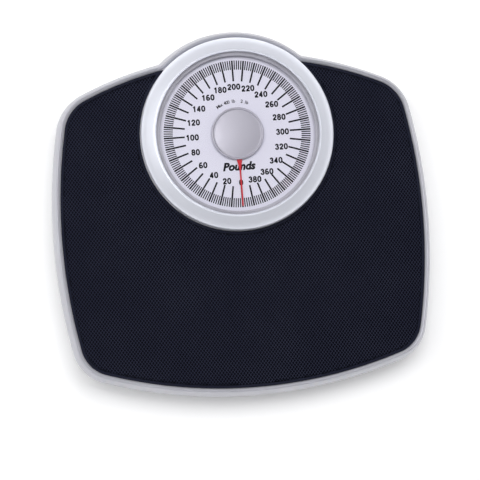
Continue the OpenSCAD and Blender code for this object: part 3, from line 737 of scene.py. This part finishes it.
def dial_surround():
    """Shelf under the lens, with a fine groove, that slopes down to a thin lip above the dial plate."""
    low, top = heights("dial_surround")
    out = LENS_R - EASE
    r = out - SHELF_W
    shelf = [(out, low + 2.0), (out, top), (out - 2.1, top), (out - 2.4, top - 0.12),
             (r + 2.7, top - 0.4)]
    groove = [(r + 2.65, top - 1.25), (r + 2.0, top - 1.25), (r + 1.95, top - 0.6)]
    lip = [(r + 0.9, top - 1.2), (r + 0.35, top - 1.5), (r + 0.05, top - 1.75), (r, top - 2.0),
           (r + 0.1, low + 0.3), (r + 0.4, low + 0.05), (r + 1.0, low)]
    profile = shelf + groove + lip
    piece = piece_from("surround_shelf", revolved("surround_shelf", profile, CENTRE, 240, closed=True),
                       SURROUND_GREY_AND_SHADE, 40)
    settle(piece, "platform", "surround_plastic", "dial_surround")


def dial_lens():
    """Flat clear disc; its top is divided into rings, so that no long thin faces meet at the middle."""
    rings = 8
    r = LENS_R - EASE
    top = LENS_TOP - EASE
    profile = [(0, LENS_LOW), (r, LENS_LOW), (r, top - 0.25), (r - 0.3, top)]
    profile += [(r * (1 - k / rings), top) for k in range(1, rings + 1)]
    piece = piece_from("lens_disc", revolved("lens_disc", profile, CENTRE, 120), LENS_CLEAR, 30)
    settle(piece, "platform", "lens_glass", "dial_lens")


SHAFT_HOLE_R = 2.9


def dial_disc():
    """The printed plate, with a hole for the shaft and eased edges."""
    r, hole = PLATE_R, SHAFT_HOLE_R
    profile = [(hole, PLATE_LOW), (r - 0.15, PLATE_LOW), (r, PLATE_LOW + 0.15), (r, PLATE_TOP - 0.2),
               (r - 0.2, PLATE_TOP), (hole + 0.2, PLATE_TOP), (hole, PLATE_TOP - 0.2)]
    disc = revolved("dial_disc", profile, CENTRE, 200, closed=True)
    settle(piece_from("dial_disc", disc, DIAL_WHITE, 30), "base", "dial_white", "dial_plate")


# The scale's marks in pounds, and their outer radius, inner radii and widths.
CAPACITY_LB = 400
FINE_LB, BOLD_LB, NUMBER_LB = 2, 10, 20
DEG_PER_LB = 0.9
TICK_R = 67.85
FINE_IN, BOLD_IN = 59.4, 48.6
FINE_W, BOLD_W = 1.02, 1.55
INK_T = 0.06
LAYER_T = 0.004


def dial_angle(pounds):
    """Where a load stands on the dial: nought at the front, and loads run clockwise."""
    return math.radians(-90 - pounds * DEG_PER_LB)


def ticks(name, loads, inner, width):
    """Radial marks: one vertex on each mark's middle, and a bar laid along the radius at each."""
    mid = (TICK_R + inner) / 2
    angles = [dial_angle(pounds) for pounds in loads]
    spots = [(mid * math.cos(a), mid * math.sin(a), PLATE_TOP + INK_T / 2) for a in angles]
    settle(bars_round(name, CENTRE, spots, (TICK_R - inner, width, INK_T), INK_BLACK),
           "base", "dial_white")


# Digits as strokes in a cell one unit high; LINE_W is the stroke's width in that unit.
LINE_W = 0.25
DIGIT_STEP = 0.77
LOOP_POINTS, CURVE_POINTS = 28, 6
LOOP_SQUARENESS = 0.85

STROKES = {
    "0": [("loop", 0, 0.5, 0.235, 0.41)],
    "1": [("line", (0.06, 0.0), (0.06, 1.0)), ("line", (-0.2, 0.72), (-0.04, 0.8), (0.06, 0.95))],
    "2": [("curve", (-0.23, 0.66), (-0.15, 0.85), (0.02, 0.91), (0.19, 0.82), (0.2, 0.62),
           (0.08, 0.43), (-0.12, 0.25), (-0.22, 0.1)), ("line", (-0.3, 0.09), (0.31, 0.09))],
    "3": [("curve", (-0.22, 0.72), (-0.12, 0.87), (0.03, 0.91), (0.18, 0.8), (0.15, 0.6),
           (-0.04, 0.53)),
          ("curve", (-0.04, 0.53), (0.17, 0.46), (0.23, 0.28), (0.13, 0.12), (-0.04, 0.09),
           (-0.17, 0.15), (-0.24, 0.3))],
    "4": [("line", (0.12, 0.0), (0.12, 1.0)), ("line", (0.14, 0.93), (-0.25, 0.31)),
          ("line", (-0.32, 0.28), (0.3, 0.28))],
    "6": [("loop", 0.01, 0.295, 0.215, 0.205),
          ("curve", (-0.205, 0.3), (-0.205, 0.6), (-0.1, 0.84), (0.06, 0.91), (0.2, 0.83))],
    "8": [("loop", 0, 0.72, 0.19, 0.19), ("loop", 0, 0.3, 0.225, 0.21)]}


def squared(value):
    """Sine or cosine pushed out a little, so that a round loop gets fuller corners."""
    return math.copysign(abs(value) ** LOOP_SQUARENESS, value)


def stroke_path(stroke):
    """Centre line of one stroke and whether it closes; a loop is centre x, y and half sizes x, y."""
    kind, *data = stroke
    if kind == "loop":
        cx, cy, rx, ry = data
        turns = [math.tau * i / LOOP_POINTS for i in range(LOOP_POINTS)]
        return [(cx + rx * squared(math.cos(a)), cy + ry * squared(math.sin(a))) for a in turns], True
    return (fine_curve(data, CURVE_POINTS) if kind == "curve" else data), False


def stroke_ribbon(bm, path, closed, half, low, high):
    """Flat bar with square ends along a path."""
    count = len(path)
    rows = []
    for i, point in enumerate(path):
        back = path[i - 1] if closed or i else point
        ahead = path[(i + 1) % count] if closed or i < count - 1 else point
        way = (Vector(ahead) - Vector(back)).normalized()
        side = Vector((-way.y, way.x)) * half
        left = (point[0] + side.x, point[1] + side.y)
        right = (point[0] - side.x, point[1] - side.y)
        rows.append([bm.verts.new(corner) for corner in ((*left, low), (*right, low),
                                                         (*right, high), (*left, high))])
    spans = list(zip(rows, rows[1:])) + ([(rows[-1], rows[0])] if closed else [])
    for a, b in spans:
        for k in range(4):
            bm.faces.new((a[k], b[k], b[(k + 1) % 4], a[(k + 1) % 4]))
    if not closed:
        bm.faces.new(rows[0])
        bm.faces.new(list(reversed(rows[-1])))


def numeral(value, height, centre):
    """A number in upright bold strokes; crossing strokes differ a hair in height, so none flickers."""
    bm = bmesh.new()
    step = DIGIT_STEP * height
    start = centre[0] - step * (len(str(value)) - 1) / 2
    layer = 0
    for place, digit in enumerate(str(value)):
        for stroke in STROKES[digit]:
            path, closed = stroke_path(stroke)
            moved = [((start + place * step + x * height) * MM,
                      (centre[1] + DIAL_Y + (y - 0.5) * height) * MM) for x, y in path]
            top = PLATE_TOP + INK_T + LAYER_T * (layer % 3)
            stroke_ribbon(bm, moved, closed, LINE_W * height / 2 * MM, PLATE_TOP * MM, top * MM)
            layer += 1
    bmesh.ops.recalc_face_normals(bm, faces=bm.faces[:])
    return mesh_of(bm, "numeral")


FONT_SIZE = 4


def lettering(words, width, centre, bold, slant=0.0, turn=0.0):
    """Thin raised print placed about the dial's centre: scaled to a width, or at the font's own size."""
    curve = bpy.data.curves.new("word", "FONT")
    curve.body = words
    curve.size = FONT_SIZE * MM
    curve.shear = slant
    curve.align_x, curve.align_y = "CENTER", "CENTER"
    curve.offset = bold * MM
    curve.resolution_u = 3
    curve.extrude = INK_T / 2 * MM
    holder = bpy.data.objects.new("word", curve)
    bpy.context.collection.objects.link(holder)
    bpy.context.view_layer.update()
    mesh = bpy.data.meshes.new_from_object(holder.evaluated_get(bpy.context.evaluated_depsgraph_get()))
    bpy.data.objects.remove(holder)
    xs = [v.co.x for v in mesh.vertices]
    ys = [v.co.y for v in mesh.vertices]
    size = width * MM / (max(xs) - min(xs)) if width else 1.0
    drop = (min(ys) + max(ys)) / 2 if width else 0
    mesh.transform(Matrix.Translation((-(min(xs) + max(xs)) / 2, -drop, 0)))
    mesh.transform(Matrix.Diagonal((size, size, 1, 1)))
    mesh.transform(Matrix.Rotation(turn, 4, "Z"))
    mesh.transform(Matrix.Translation((centre[0] * MM, (centre[1] + DIAL_Y) * MM,
                                       (PLATE_TOP + INK_T / 2) * MM)))
    return mesh


def joined(name, meshes, material, smooth_angle=None):
    """Several meshes as one piece."""
    bm = bmesh.new()
    for mesh in meshes:
        bm.from_mesh(mesh)
    for mesh in meshes:
        bpy.data.meshes.remove(mesh)
    return piece_from(name, mesh_of(bm, name), material, smooth_angle)


def grow_about_middle(mesh, size):
    middle_x = sum(v.co.x for v in mesh.vertices) / len(mesh.vertices)
    middle_y = sum(v.co.y for v in mesh.vertices) / len(mesh.vertices)
    mesh.transform(Matrix.Translation((-middle_x, -middle_y, 0)))
    mesh.transform(Matrix.Diagonal((size, size, 1, 1)))
    mesh.transform(Matrix.Translation((middle_x, middle_y, 0)))


NUMBER_H = 5.35
NUMBERS_RX, NUMBERS_RY, NUMBERS_DROP = 41.7, 44.3, 0.8


def dial_numbers():
    """A number every 20 pounds, on a slightly upright oval so that wide ones clear the long ticks."""
    numbers = []
    for value in range(0, CAPACITY_LB, NUMBER_LB):
        a = dial_angle(value)
        place = (NUMBERS_RX * math.cos(a), NUMBERS_RY * math.sin(a) - NUMBERS_DROP)
        numbers.append(numeral(value, NUMBER_H, place))
    settle(joined("dial_numbers", numbers, INK_BLACK), "base", "dial_white")


UNIT_WORD, UNIT_W, UNIT_PLACE = "Pounds", 30.5, (-0.6, -30.0)
UNIT_BOLD, UNIT_SLANT = 0.19, 0.25


def dial_unit():
    word = lettering(UNIT_WORD, UNIT_W, UNIT_PLACE, UNIT_BOLD, UNIT_SLANT)
    settle(joined("dial_unit", [word], INK_BLACK), "base", "dial_white")


NOTE_WORDS = "Max 400 lb   2 lb"
NOTE_R, NOTE_START_DEG, NOTE_SPAN_DEG = 30.2, 121.5, 53.5
NOTE_BOLD, NOTE_SIZE = 0.1, 1.05


def dial_note():
    """Capacity and division, letter by letter along an arc above the hub."""
    note = []
    for i, letter in enumerate(NOTE_WORDS):
        if letter != " ":
            angle = math.radians(NOTE_START_DEG - NOTE_SPAN_DEG * i / (len(NOTE_WORDS) - 1))
            place = (NOTE_R * math.cos(angle), NOTE_R * math.sin(angle))
            note.append(lettering(letter, 0, place, NOTE_BOLD, 0.0, angle - math.pi / 2))
    for mesh in note:
        grow_about_middle(mesh, NOTE_SIZE)
    settle(joined("dial_note", note, INK_GREY), "base", "dial_white")


def dial_print():
    bold = range(0, CAPACITY_LB, BOLD_LB)
    fine = [pounds for pounds in range(0, CAPACITY_LB, FINE_LB) if pounds not in bold]
    ticks("fine_ticks", fine, FINE_IN, FINE_W)
    ticks("bold_ticks", bold, BOLD_IN, BOLD_W)
    dial_numbers()
    dial_unit()
    dial_note()


NEEDLE_DISC_R = 9


def pointer_needle():
    """Tapering blade with chamfered top edges, on a disc under the hub cap."""
    low, top = NEEDLE_LOW, NEEDLE_TOP
    length = DIAL_Y - box_mm("pointer_needle")[0][1]
    spine = [(0, 2.7), (HUB_R - 1.5, 2.5), (HUB_R + 4, 1.6), (HUB_R + 8, 0.95), (HUB_R + 12, 0.75),
             (HUB_R + 22, 0.72), (length - 8, 0.7), (length - 1.2, 0.65), (length, 0.12)]
    rows = []
    for along, half in fine_curve(spine, 4):
        edge = min(0.25, half * 0.4)
        y = DIAL_Y - along
        rows.append([(-half, y, low), (half, y, low), (half, y, top - edge), (half - edge, y, top),
                     (edge - half, y, top), (-half, y, top - edge)])
    ends = [[(0, y, (low + top) / 2)] for y in (DIAL_Y, DIAL_Y - length)]
    blade = ring_mesh("blade", [ends[0]] + rows + [ends[1]])
    r = NEEDLE_DISC_R
    rim = [(0, low), (r - 0.2, low), (r, low + 0.2), (r, top - 0.2), (r - 0.2, top), (0, top)]
    disc = revolved("disc", rim, CENTRE, 64)
    settle(joined("needle_blade", [blade, disc], POINTER_RED, 35),
           "pointer", "pointer_red", "pointer_needle")


def hub_cap():
    """Shallow dome inside a raised round rim."""
    base, r = HUB_LOW, HUB_R
    profile = [(0, base), (r - 0.9, base), (r - 0.1, base + 0.35), (r, base + 0.9), (r, base + 1.4)]
    rim = [(r, base + 1.4), (r - 0.2, base + 1.9), (r - 0.6, base + 2.2), (r - 1.0, base + 2.25),
           (r - 1.4, base + 2.1), (r - 1.8, base + 1.5), (r - 2.2, base + 1.1), (r - 3.2, base + 1.05)]
    dome = [(r * 0.7, base + 1.45), (r * 0.5, base + 1.75), (r * 0.25, base + 1.98),
            (r * 0.08, base + 2.07)]
    profile += fine_curve(rim + dome, 3)[1:] + [(0, base + 2.08)]
    cap = piece_from("hub_dome", revolved("hub_dome", profile, CENTRE, 120), HUB_SILVER, 40)
    settle(cap, "pointer", "silver_plastic", "hub_cap")


# ---------- feet and zero wheel ----------

GRIP_GROOVE = 0.6


def foot_pad(node):
    """Rubber pad with round grip grooves in its sole."""
    cx, cy = middle(node)[:2]
    r, h, g = radius_of(node), heights(node)[1], GRIP_GROOVE
    sole = [(0, g), (3.6, g), (4.0, 0.0), (5.6, 0.0), (6.0, g), (7.6, g), (8.0, 0.0), (9.6, 0.0),
            (10.0, g), (r - 3.2, g), (r - 2.8, 0.0), (r - 1.8, 0.0)]
    side = [(r - 1.0, 0.5), (r - 0.3, h * 0.5), (r, h - 1.6), (r, h - 0.4), (r - 0.3, h), (0, h)]
    pad = piece_from(node + "_pad", revolved(node, sole + side, (cx, cy), 64), BLACK_RUBBER, 30)
    settle(pad, "base", "rubber", node)


def foot_pads():
    for end in ("front", "rear"):
        for side in ("left", "right"):
            foot_pad(f"foot_{end}_{side}")


# RIDGE_ROOT is a bar's whole depth over the depth that shows; RIDGE_END is left plain at each edge.
RIDGES = 60
RIDGE_DEPTH, RIDGE_W = 0.55, 0.9
RIDGE_ROOT = 1.35
RIDGE_END = 0.7


def zero_wheel():
    """Dished wheel with a boss, and ridges round its edge, each a bar that is rooted in the wheel."""
    cx, cy = middle("zero_wheel")[:2]
    low, high = heights("zero_wheel")
    r = radius_of("zero_wheel")
    body = r - RIDGE_DEPTH
    profile = [(2.5, low), (body - 1, low), (body, low + 0.6), (body, high - 0.6), (body - 1, high),
               (r - 4, high), (r - 4.4, high - 0.4), (r - 4.8, high - 2), (6.2, high - 2),
               (5.6, high - 1.6), (5.4, high), (2.5, high)]
    core = revolved("wheel_core", profile, (cx, cy), 120, closed=True)
    reach = body + RIDGE_DEPTH * 0.3
    turns = [math.tau * i / RIDGES for i in range(RIDGES)]
    spots = [(reach * math.cos(a), reach * math.sin(a), (low + high) / 2) for a in turns]
    ridge = (RIDGE_DEPTH * RIDGE_ROOT, RIDGE_W, high - low - 2 * RIDGE_END)
    settle(bars_round("wheel_grip", (cx, cy), spots, ridge, BLACK_PLASTIC),
           "zero_adjuster", "black_plastic")
    wheel = piece_from("wheel_core", core, BLACK_PLASTIC, 30)
    settle(wheel, "zero_adjuster", "black_plastic", "zero_wheel")


# ---------- finishes of the carried-over nodes ----------

FINISHES = {
    "tray_paint": TRAY_SILVER, "zinc_steel": ZINC, "bright_steel": BRIGHT, "hard_steel": HARD,
    "brass": BRASS, "guide_plastic": GUIDE_PLASTIC, "spring_steel": SPRING, "rubber": BLACK_RUBBER,
    "black_plastic": BLACK_PLASTIC, "platform_paint": PLATFORM_SILVER, "mat_rubber": MAT_RUBBER,
    "silver_plastic": TURNED_SILVER, "lens_glass": LENS_CLEAR, "surround_plastic": SURROUND_GREY_AND_SHADE,
    "dial_white": DIAL_WHITE, "pointer_red": POINTER_RED}

for part in frame["record"]["subparts"]:
    node = frame["nodes"][part["node"]]
    for held in node.material_slots:
        held.material = FINISHES[part["material_slot"]]

platform_cover()
mat_sheet()
mat_field()
dial_bezel()
dial_surround()
dial_lens()
dial_disc()
dial_print()
pointer_needle()
hub_cap()
foot_pads()
zero_wheel()

# ---------- floor, light and camera ----------

FLOOR_REACH = 12.0
GLOW_FROM, GLOW_TO = 0.45, 2.2
GLOW_NEAR, GLOW_GAIN = 0.17, 0.75


def floor_paper():
    """White paper that the lamps light near the part, and that glows further out, so no edge shows."""
    material, n = finish_named("floor_paper")
    path = n.node("ShaderNodeLightPath")
    seen = Wave(n, path.outputs["Is Camera Ray"])
    glossy = Wave(n, path.outputs["Is Glossy Ray"])
    through = Wave(n, path.outputs["Is Transmission Ray"])
    shown = (seen + glossy + through).clamped()
    grain = n.noise(3.0, 2.0)
    white = n.mix(grain * 0.2, (0.92, 0.92, 0.92), (0.9, 0.9, 0.9))
    matte = n.add("ShaderNodeBsdfDiffuse", {}, {"Color": white})
    x, y = n.xyz()[:2]
    far = ((x * x + y * y) ** 0.5).ramp(GLOW_FROM, GLOW_TO)
    glow = n.add("ShaderNodeEmission", {}, {"Color": (1, 1, 1),
                                            "Strength": shown * (far * GLOW_GAIN + GLOW_NEAR)})
    both = n.add("ShaderNodeAddShader", {}, {0: matte, 1: glow})
    n.node("ShaderNodeOutputMaterial", {}, {"Surface": both})
    return material


def floor():
    r = FLOOR_REACH
    mesh = bpy.data.meshes.new("floor")
    mesh.from_pydata([(-r, -r, 0), (r, -r, 0), (r, r, 0), (-r, r, 0)], [], [(0, 1, 2, 3)])
    piece_from("floor", mesh, floor_paper())


SKY_LOW, SKY_HIGH = (1.6, 1.6, 1.63), (0.14, 0.14, 0.15)


def surroundings():
    """Bright walls and a dim ceiling for reflections, and plain white where the camera looks past."""
    world = bpy.data.worlds.new("studio")
    bpy.context.scene.world = world
    world.use_nodes = True
    world.node_tree.nodes.clear()
    w = Nodes(world.node_tree)
    way = w.add("ShaderNodeTexCoord", out="Generated")
    up = w.node("ShaderNodeSeparateXYZ", {}, {0: way})
    height = Wave(w, up.outputs[2])
    sky = w.mix(height.ramp(0.05, 0.6), SKY_LOW, SKY_HIGH)
    path = w.node("ShaderNodeLightPath")
    seen = Wave(w, path.outputs["Is Camera Ray"])
    soft = w.add("ShaderNodeBackground", {}, {"Color": sky, "Strength": 1.0})
    plain = w.add("ShaderNodeBackground", {}, {"Color": (1, 1, 1), "Strength": 1.0})
    both = w.add("ShaderNodeMixShader", {}, {0: seen, 1: soft, 2: plain})
    w.node("ShaderNodeOutputWorld", {}, {"Surface": both})


LAMP_AIM = (0, 0, 0.03)


def lamp(name, place, size, power, mirrored=True):
    """Soft rectangular lamp aimed at the part; an unmirrored one leaves no reflection in the silver."""
    data = bpy.data.lights.new(name, "AREA")
    data.shape = "RECTANGLE"
    data.size, data.size_y = size
    data.energy = power
    made = bpy.data.objects.new(name, data)
    made.visible_glossy = mirrored
    turn = (Vector(LAMP_AIM) - Vector(place)).to_track_quat("-Z", "Y").to_matrix().to_4x4()
    made.matrix_world = Matrix.Translation(place) @ turn
    bpy.context.collection.objects.link(made)


def camera():
    """Nearly straight down, from a little to the left and in front of the dial."""
    data = bpy.data.cameras.new("camera")
    data.sensor_width = 36.0
    data.lens = 126.43
    data.clip_end = 20
    made = bpy.data.objects.new("camera", data)
    right = Vector((0.9932765, -0.0770670, 0.0863856))
    up = Vector((0.0723459, 0.9957772, 0.0565148))
    back = Vector((-0.0903762, -0.0498851, 0.9946575))
    place = Vector((-0.14477, DIAL_Y * MM - 0.17480, MAT_TOP * MM + 1.54059))
    made.matrix_world = Matrix((
        (right.x, up.x, back.x, place.x), (right.y, up.y, back.y, place.y),
        (right.z, up.z, back.z, place.z), (0, 0, 0, 1)))
    bpy.context.collection.objects.link(made)
    bpy.context.scene.camera = made


floor()
surroundings()
lamp("softbox_rear", (0.25, 0.6, 1.95), (1.2, 0.8), 20, mirrored=False)
lamp("softbox_left", (-0.65, 0.3, 1.85), (0.9, 1.2), 14)
camera()
bpy.context.scene.view_settings.view_transform = "Standard"
